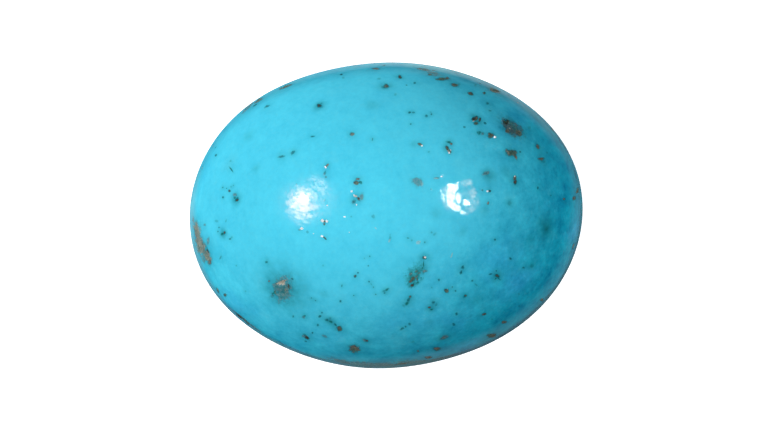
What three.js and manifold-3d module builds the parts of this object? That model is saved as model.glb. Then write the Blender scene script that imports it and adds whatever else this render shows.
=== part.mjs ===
// A polished oval cabochon of speckled turquoise, lying on its flat back.
// Millimetres, +Z up. The origin is the middle of the flat back, and the length runs along X.
import Module from 'manifold-3d';
import * as THREE from 'three';
import { mergeVertices } from 'three/addons/utils/BufferGeometryUtils.js';

// The stone's overall size
const LENGTH = 18.0;
const WIDTH = 14.0;
const HEIGHT = 6.8;

// The girdle is the stone's widest line. A steep wall stands on it and a bevel runs in below it.
const GIRDLE_HEIGHT = 0.45;
const WALL_SLOPE = THREE.MathUtils.degToRad(78);
const BEVEL_SLOPE = THREE.MathUtils.degToRad(45);

// The dome is the top of a larger ellipse, and alone it would meet the girdle's line this high up
const DOME_SHARE = 0.97;
const DOME_EDGE_HEIGHT = 1.0;

// How far the soft turns spread, from wall to dome and from bevel to flat back
const SHOULDER_EASING = 0.7;
const BACK_EASING = 0.15;

// The outline is cut by eye: how often each wave goes round, and its shares of the radius
const OUTLINE_WAVES = [
  { turns: 1, cosine: -0.001, sine: 0.004 },
  { turns: 2, cosine: 0, sine: 0.009 },
  { turns: 3, cosine: 0.001, sine: 0.004 },
  { turns: 4, cosine: -0.0025, sine: 0.001 },
  { turns: 6, cosine: -0.002, sine: 0.002 },
];

// How finely the surface is divided
const SPOKES = 90;
const DOME_RINGS = 24;
const BEVEL_RINGS = 4;

// Shallow pits that the polish left in the softer matrix, by their place in plan
const PIT_DEPTH_SHARE = 0.14;
const PIT_CUTTER_DETAIL = 6;
const PITS = [
  { x: -4.6, y: -3.0, width: 0.75 },
  { x: 5.4, y: 4.1, width: 0.85 },
  { x: 1.1, y: -2.2, width: 0.7 },
  { x: -8.0, y: -1.7, width: 0.7 },
  { x: 6.9, y: -0.3, width: 0.5 },
  { x: 5.4, y: 3.0, width: 0.4 },
  { x: 2.7, y: 3.3, width: 0.4 },
  { x: 3.9, y: 4.5, width: 0.45 },
  { x: -1.4, y: -5.7, width: 0.45 },
  { x: 1.0, y: -3.2, width: 0.4 },
  { x: -1.4, y: 1.2, width: 0.35 },
  { x: 4.8, y: -2.4, width: 0.35 },
  { x: -6.7, y: 1.1, width: 0.3 },
  { x: 4.7, y: -5.3, width: 0.35 },
];

// The lesser of two heights, rounded off over a length where they cross
function softMin(a, b, easing) {
  const overlap = Math.max(easing - Math.abs(a - b), 0) / easing;
  return Math.min(a, b) - (overlap ** 3 * easing) / 6;
}

function softMax(a, b, easing) {
  return -softMin(-a, -b, easing);
}

// The girdle's distance from the middle, in one direction
function girdleRadius(angle) {
  const across = Math.hypot((WIDTH / 2) * Math.cos(angle), (LENGTH / 2) * Math.sin(angle));
  let share = 1;
  for (const { turns, cosine, sine } of OUTLINE_WAVES) {
    share += cosine * Math.cos(turns * angle) + sine * Math.sin(turns * angle);
  }
  return (share * (LENGTH / 2) * (WIDTH / 2)) / across;
}

// The height of the wall and dome, at a share of the way out to the girdle
function topHeight(share, radius) {
  const drop = (HEIGHT - DOME_EDGE_HEIGHT) / (1 - Math.sqrt(1 - DOME_SHARE ** 2));
  const dome = HEIGHT - drop * (1 - Math.sqrt(1 - (DOME_SHARE * share) ** 2));
  const wall = GIRDLE_HEIGHT + (1 - share) * radius * Math.tan(WALL_SLOPE);
  return softMin(dome, wall, SHOULDER_EASING);
}

// The height of the bevel and the flat back, at a distance in from the girdle
function backHeight(inset) {
  return softMax(GIRDLE_HEIGHT - inset * Math.tan(BEVEL_SLOPE), 0, BACK_EASING);
}

// The point of the top surface above a place in plan
function topPoint(x, y) {
  const radius = girdleRadius(Math.atan2(y, x));
  return new THREE.Vector3(x, y, topHeight(Math.hypot(x, y) / radius, radius));
}

function topNormal(x, y) {
  const step = 0.05;
  const alongX = topPoint(x + step, y).sub(topPoint(x - step, y));
  const alongY = topPoint(x, y + step).sub(topPoint(x, y - step));
  return alongX.cross(alongY).normalize();
}

// Rings of points from the top of the dome, over the girdle and round to the flat back
function stoneRings() {
  const rings = [];
  const addRing = (place) => {
    const ring = [];
    for (let spoke = 0; spoke < SPOKES; spoke += 1) {
      const angle = (2 * Math.PI * spoke) / SPOKES;
      const { out, height } = place(girdleRadius(angle));
      ring.push([out * Math.cos(angle), out * Math.sin(angle), height]);
    }
    rings.push(ring);
  };
  for (let step = 1; step <= DOME_RINGS; step += 1) {
    const share = Math.sin(((Math.PI / 2) * step) / DOME_RINGS);
    addRing((radius) => ({ out: share * radius, height: topHeight(share, radius) }));
  }
  const bevelReach = (GIRDLE_HEIGHT + BACK_EASING) / Math.tan(BEVEL_SLOPE);
  for (let step = 1; step <= BEVEL_RINGS; step += 1) {
    const inset = (bevelReach * step) / BEVEL_RINGS;
    addRing((radius) => ({ out: radius - inset, height: backHeight(inset) }));
  }
  return rings;
}

// The whole stone before its pits, as one closed skin
function stoneBlank() {
  const rings = stoneRings();
  const last = rings.length - 1;
  const points = [[0, 0, HEIGHT], ...rings.flat(), [0, 0, 0]];
  const top = 0;
  const bottom = points.length - 1;
  const at = (ring, spoke) => 1 + ring * SPOKES + (spoke % SPOKES);
  const faces = [];
  for (let spoke = 0; spoke < SPOKES; spoke += 1) {
    faces.push(top, at(0, spoke), at(0, spoke + 1));
    for (let ring = 0; ring < last; ring += 1) {
      faces.push(at(ring, spoke), at(ring + 1, spoke), at(ring + 1, spoke + 1));
      faces.push(at(ring, spoke), at(ring + 1, spoke + 1), at(ring, spoke + 1));
    }
    faces.push(at(last, spoke), bottom, at(last, spoke + 1));
  }
  const geometry = new THREE.BufferGeometry();
  geometry.setAttribute('position', new THREE.Float32BufferAttribute(points.flat(), 3));
  geometry.setIndex(faces);
  return geometry;
}

// A ball that scoops one pit of the given width out of the dome
function pitCutter({ x, y, width }) {
  const depth = PIT_DEPTH_SHARE * width;
  const radius = ((width / 2) ** 2 + depth ** 2) / (2 * depth);
  const middle = topPoint(x, y).addScaledVector(topNormal(x, y), radius - depth);
  const ball = new THREE.IcosahedronGeometry(radius, PIT_CUTTER_DETAIL);
  ball.translate(middle.x, middle.y, middle.z);
  return ball;
}

function toSolid(wasm, geometry) {
  const bare = geometry.clone();
  bare.deleteAttribute('normal');
  bare.deleteAttribute('uv');
  const merged = mergeVertices(bare);
  const vertProperties = new Float32Array(merged.getAttribute('position').array);
  const triVerts = new Uint32Array(merged.getIndex().array);
  return new wasm.Manifold(new wasm.Mesh({ numProp: 3, vertProperties, triVerts }));
}

function toGeometry(solid) {
  const { vertProperties, triVerts } = solid.getMesh();
  const geometry = new THREE.BufferGeometry();
  geometry.setAttribute('position', new THREE.BufferAttribute(vertProperties, 3));
  geometry.setIndex(new THREE.BufferAttribute(triVerts, 1));
  geometry.computeVertexNormals();
  return geometry;
}

function turquoiseStone(wasm) {
  let solid = toSolid(wasm, stoneBlank());
  for (const pit of PITS) {
    solid = solid.subtract(toSolid(wasm, pitCutter(pit)));
  }
  const material = new THREE.MeshStandardMaterial({ color: 0x49c4e2, roughness: 0.2, metalness: 0 });
  const mesh = new THREE.Mesh(toGeometry(solid), material);
  mesh.name = 'turquoise_stone';
  return mesh;
}

const wasm = await Module();
wasm.setup();

const cabochon = new THREE.Group();
cabochon.add(turquoiseStone(wasm));

export default cabochon;
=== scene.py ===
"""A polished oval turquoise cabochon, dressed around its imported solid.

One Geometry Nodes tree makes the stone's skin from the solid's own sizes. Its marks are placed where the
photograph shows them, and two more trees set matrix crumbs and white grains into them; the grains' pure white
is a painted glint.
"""
import logging
import math
from dataclasses import dataclass
from enum import Enum
from functools import cached_property, partialmethod

import bpy
import numpy as np
from mathutils import Matrix, Vector
from mathutils.geometry import tessellate_polygon


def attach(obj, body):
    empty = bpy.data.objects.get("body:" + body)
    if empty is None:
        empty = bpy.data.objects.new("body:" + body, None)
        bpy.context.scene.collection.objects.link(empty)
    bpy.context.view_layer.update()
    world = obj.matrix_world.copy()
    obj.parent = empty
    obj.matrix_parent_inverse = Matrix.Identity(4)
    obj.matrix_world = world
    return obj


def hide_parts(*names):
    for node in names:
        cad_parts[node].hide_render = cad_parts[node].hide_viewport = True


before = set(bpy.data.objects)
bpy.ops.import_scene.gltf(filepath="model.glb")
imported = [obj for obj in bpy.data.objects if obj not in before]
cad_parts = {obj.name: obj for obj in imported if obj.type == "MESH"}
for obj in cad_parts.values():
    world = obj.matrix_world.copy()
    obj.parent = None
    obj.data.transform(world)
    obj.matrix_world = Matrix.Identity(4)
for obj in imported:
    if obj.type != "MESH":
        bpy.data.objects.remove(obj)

LOG = logging.getLogger("cabochon")
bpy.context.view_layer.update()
MM = 0.001
NODE = "turquoise_stone"
BODY = "root"

Colour = tuple[float, float, float]
Pixel = tuple[float, float]
Faces = list[tuple[int, ...]]
Inputs = dict[str | int, object]
WHITE: Colour = (1.0, 1.0, 1.0)
BLACK: Colour = (0.0, 0.0, 0.0)
ANY_TURN = (math.tau, math.tau, math.tau)
BLOB_CORNERS = 16


class Value:
    """An output in a node tree, so that a formula there reads as a formula here."""

    def __init__(self, graph: "Graph", socket: bpy.types.NodeSocket) -> None:
        """Keeps the output and the graph it is in."""
        self.graph = graph
        self.socket = socket

    def math(self, operation: str, *others: "Value | float") -> "Value":
        """Puts this number and further terms through a Math node."""
        return self.graph.value("ShaderNodeMath", dict(enumerate((self, *others))), operation=operation)

    __add__ = __radd__ = partialmethod(math, "ADD")
    __sub__ = partialmethod(math, "SUBTRACT")
    __rsub__ = partialmethod(math, "MULTIPLY_ADD", -1.0)
    __mul__ = __rmul__ = partialmethod(math, "MULTIPLY")
    __truediv__ = partialmethod(math, "DIVIDE")

    def clamped(self) -> "Value":
        """This number, held between 0 and 1."""
        return self.graph.value("ShaderNodeMath", {0: self, 1: 0.0}, operation="ADD", use_clamp=True)

    def scaled(self, amount: "Value | float") -> "Value":
        """This vector times a number."""
        return self.graph.value("ShaderNodeVectorMath", {0: self, "Scale": amount}, operation="SCALE")

    def split(self) -> "tuple[Value, ...]":
        """This vector's parts along X, Y and Z."""
        node = self.graph.add("ShaderNodeSeparateXYZ", {0: self})
        return tuple(Value(self.graph, output) for output in node.outputs)

    def step(self, low: float, high: float) -> "Value":
        """A smooth step of this number.

        Args:
            low: Where the step starts at 0.
            high: Where the step reaches 1. It may be below low, for a falling step.

        Returns:
            A value from 0 to 1.
        """
        start, end = (1.0, 0.0) if high < low else (0.0, 1.0)
        reach = {"From Min": min(low, high), "From Max": max(low, high), "To Min": start, "To Max": end}
        inputs = {"Value": self, **reach}
        return self.graph.value("ShaderNodeMapRange", inputs, "Result", interpolation_type="SMOOTHSTEP")


class Graph:
    """A node tree, with short ways to add nodes."""

    def __init__(self, tree: bpy.types.NodeTree) -> None:
        """Keeps the tree."""
        self.tree = tree

    def fill(self, node: bpy.types.Node, inputs: Inputs) -> None:
        """Feeds or sets some of a node's inputs.

        Args:
            node: The node.
            inputs: What goes in, by the inputs' names or numbers: outputs of other nodes or plain settings.
        """
        for name, term in inputs.items():
            socket = node.inputs[name]
            if isinstance(term, Value):
                self.tree.links.new(term.socket, socket)
            else:
                socket.default_value = (*term, 1.0) if socket.type == "RGBA" else term

    def add(self, kind: str, inputs: Inputs | None = None, **settings: object) -> bpy.types.Node:
        """Adds a node.

        Args:
            kind: The node's type.
            inputs: What goes into it, by its inputs' names or numbers.
            settings: Its properties.

        Returns:
            The node.
        """
        node = self.tree.nodes.new(kind)
        for name, setting in settings.items():
            setattr(node, name, setting)
        self.fill(node, inputs or {})
        return node

    def value(
        self, kind: str, inputs: Inputs | None = None, output: str | int = 0, **settings: object
    ) -> Value:
        """Adds a node and gives one of its outputs."""
        return Value(self, self.add(kind, inputs, **settings).outputs[output])

    def joined(self, *parts: "Value | float") -> Value:
        """A vector made of its parts along X, Y and Z. A part that is left out is 0."""
        return self.value("ShaderNodeCombineXYZ", dict(enumerate(parts)))


@dataclass(frozen=True)
class Wave:
    """One wave of the hand-cut outline: how often it goes round, and its shares of the radius."""

    turns: int
    cosine: float
    sine: float


@dataclass(frozen=True)
class StoneForm:
    """The cabochon's form in millimetres and radians, with the solid's own sizes."""

    length: float = 18.0
    width: float = 14.0
    height: float = 6.8
    girdle_height: float = 0.45
    wall_slope: float = math.radians(78)
    bevel_slope: float = math.radians(45)
    dome_share: float = 0.97
    dome_edge_height: float = 1.0
    shoulder_easing: float = 0.7
    back_easing: float = 0.15
    girdle_easing: float = 0.15
    waves: tuple[Wave, ...] = (
        Wave(1, -0.001, 0.004),
        Wave(2, 0.0, 0.009),
        Wave(3, 0.001, 0.004),
        Wave(4, -0.0025, 0.001),
        Wave(6, -0.002, 0.002),
    )

    @property
    def dome_drop(self) -> float:
        """How far the dome would fall from its top to the end of its parent ellipse."""
        return (self.height - self.dome_edge_height) / (1 - math.sqrt(1 - self.dome_share**2))

    def girdle_radius(self, angle: np.ndarray) -> np.ndarray:
        """The girdle's distance from the middle.

        Args:
            angle: Directions in plan, in radians.

        Returns:
            The distances, in millimetres.
        """
        half_length, half_width = self.length / 2, self.width / 2
        share = 1.0
        for wave in self.waves:
            share = share + wave.cosine * np.cos(wave.turns * angle) + wave.sine * np.sin(wave.turns * angle)
        across = np.hypot(half_width * np.cos(angle), half_length * np.sin(angle))
        return share * half_length * half_width / across

    def top_height(self, x: np.ndarray, y: np.ndarray) -> np.ndarray:
        """The height of the wall and dome.

        Args:
            x: Places along the length, in millimetres.
            y: Places across it, in millimetres.

        Returns:
            The heights above them, in millimetres.
        """
        radius = self.girdle_radius(np.arctan2(y, x))
        share = np.minimum(np.hypot(x, y) / radius, 1.0)
        dome = self.height - self.dome_drop * (1 - np.sqrt(1 - (self.dome_share * share) ** 2))
        wall = self.girdle_height + (1 - share) * radius * math.tan(self.wall_slope)
        overlap = np.maximum(self.shoulder_easing - np.abs(dome - wall), 0.0) / self.shoulder_easing
        return np.minimum(dome, wall) - overlap**3 * self.shoulder_easing / 6

    def top_normal(self, x: float, y: float) -> Vector:
        """The outward normal of the wall and dome.

        Args:
            x: The place along the length, in millimetres.
            y: The place across it, in millimetres.

        Returns:
            A unit vector.
        """
        step = 0.02
        rise_x = self.top_height(x + step, y) - self.top_height(x - step, y)
        rise_y = self.top_height(x, y + step) - self.top_height(x, y - step)
        return Vector((-rise_x, -rise_y, 2 * step)).normalized()


@dataclass(frozen=True)
class PhotoCamera:
    """The camera at the photograph's viewing angle: nearly straight down on the dome."""

    frame_width: int = 768
    frame_height: int = 433
    lens: float = 100.0
    sensor: float = 36.0
    pixels_per_mm: float = 21.97
    lean_back: float = math.radians(4.0)
    lean_left: float = math.radians(1.0)
    aim: tuple[float, float, float] = (-0.108, -0.019, 0.5)
    hit_steps: int = 1500
    clearance: float = 0.2
    edge_share: float = 0.998

    @property
    def focal_pixels(self) -> float:
        """The focal length, in pixels of the photograph's frame."""
        return self.frame_width * self.lens / self.sensor

    @property
    def outlook(self) -> Vector:
        """The direction from the stone to the camera."""
        return Vector((-math.tan(self.lean_left), math.tan(self.lean_back), 1.0)).normalized()

    @property
    def place(self) -> Vector:
        """Where the camera stands, in millimetres."""
        return Vector(self.aim) + self.outlook * (self.focal_pixels / self.pixels_per_mm)

    @property
    def axes(self) -> tuple[Vector, Vector, Vector]:
        """The camera's directions to the right, up the picture and back from it."""
        right = Vector((0, 1, 0)).cross(self.outlook).normalized()
        return right, self.outlook.cross(right), self.outlook

    def ray(self, pixel: Pixel) -> Vector:
        """The direction in which the camera sees a pixel.

        Args:
            pixel: Its place in the 768 by 433 frame, from the upper left corner.

        Returns:
            A unit vector away from the camera.
        """
        right, up, back = self.axes
        across = pixel[0] - self.frame_width / 2
        down = pixel[1] - self.frame_height / 2
        return (right * across - up * down - back * self.focal_pixels).normalized()

    def hit(self, pixel: Pixel, form: StoneForm) -> tuple[Vector, Vector]:
        """Where the camera sees the stone at a pixel.

        Args:
            pixel: Its place in the 768 by 433 frame.
            form: The stone's form.

        Returns:
            The point on the stone, in millimetres, and its normal there.
        """
        ray = np.array(self.ray(pixel))
        start = np.array(self.place)
        nearest = (form.height + self.clearance - start[2]) / ray[2]
        furthest = (form.girdle_height - start[2]) / ray[2]
        steps = np.linspace(nearest, furthest, self.hit_steps)
        points = start + steps[:, None] * ray
        inside = np.flatnonzero(points[:, 2] <= form.top_height(points[:, 0], points[:, 1]))
        x, y = points[inside[0] if len(inside) else -1][:2]
        reach = self.edge_share * float(form.girdle_radius(np.arctan2(y, x))) / max(math.hypot(x, y), 1e-6)
        x, y = x * min(reach, 1.0), y * min(reach, 1.0)
        return Vector((x, y, float(form.top_height(x, y)))), form.top_normal(x, y)

    def build(self) -> None:
        """Adds the camera to the scene and looks through it."""
        data = bpy.data.cameras.new("photo_camera")
        data.lens = self.lens
        data.sensor_width = self.sensor
        data.clip_start = MM
        camera = put("photo_camera", data)
        camera.location = self.place * MM
        camera.rotation_euler = Matrix(self.axes).transposed().to_euler()
        bpy.context.scene.camera = camera


class Layer(Enum):
    """Which of the finish's layers draws a mark."""

    EARTH = "earth"
    TEAL = "teal"
    SMUDGE = "smudge"
    GLINT = "glint"


@dataclass(frozen=True)
class MarkLook:
    """How one kind of mark looks.

    Attributes:
        layer: The layer that draws it.
        tone: From 0, the layer's darkest colour, to 1, its palest.
        strength: How much of the turquoise under it is hidden.
        halo: How strongly the turquoise darkens round it.
        pit: How deep the polish left it, as a share of its width.
    """

    layer: Layer
    tone: float
    strength: float
    halo: float
    pit: float = 0.0


class MarkKind(Enum):
    """The kinds of mark in the stone."""

    UMBER = MarkLook(Layer.EARTH, 0.12, 0.95, 0.30, 0.10)
    RUST = MarkLook(Layer.EARTH, 0.36, 0.90, 0.20, 0.05)
    TAN = MarkLook(Layer.EARTH, 0.58, 0.85, 0.20, 0.08)
    CREAM = MarkLook(Layer.EARTH, 0.88, 0.95, 0.30, 0.10)
    DUST = MarkLook(Layer.EARTH, 0.48, 0.45, 0.10)
    CLAY = MarkLook(Layer.EARTH, 0.30, 0.62, 0.20)
    PALE = MarkLook(Layer.EARTH, 1.0, 0.36, 0.0)
    TEAL = MarkLook(Layer.TEAL, 0.15, 0.80, 0.16)
    FAINT = MarkLook(Layer.TEAL, 0.25, 0.35, 0.08)
    MOSS = MarkLook(Layer.TEAL, 0.75, 0.85, 0.22)
    LICHEN = MarkLook(Layer.TEAL, 0.90, 0.68, 0.12)
    SMUDGE = MarkLook(Layer.SMUDGE, 0.0, 0.0, 0.22)
    # A painted glint: its grain is pure white where the lamps spark in the polish
    GLINT = MarkLook(Layer.GLINT, 1.0, 1.0, 0.0)


@dataclass(frozen=True)
class Mark:
    """One mark in the stone, where the photograph shows it.

    Attributes:
        kind: What it is.
        x: Its middle, in pixels from the photograph's left edge.
        y: Its middle, in pixels from the photograph's upper edge.
        width: Its longer width, in the photograph's pixels.
        slim: Its shorter width as a share of its longer one.
        turn: How far its longer width is turned from level, in degrees.
        halo: How strong its halo is, as a share of what its kind has.
    """

    kind: MarkKind
    x: float
    y: float
    width: float
    slim: float = 1.0
    turn: float = 0.0
    halo: float = 1.0


def marks(kind: MarkKind, *places: tuple[float, ...]) -> list[Mark]:
    """Marks of one kind, each from its x, y and width, and its slim, turn and halo where it needs them."""
    return [Mark(kind, *place) for place in places]


UMBER, RUST, TAN, CREAM, DUST, CLAY, PALE, TEAL, FAINT, MOSS, LICHEN, SMUDGE, GLINT = MarkKind

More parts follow.
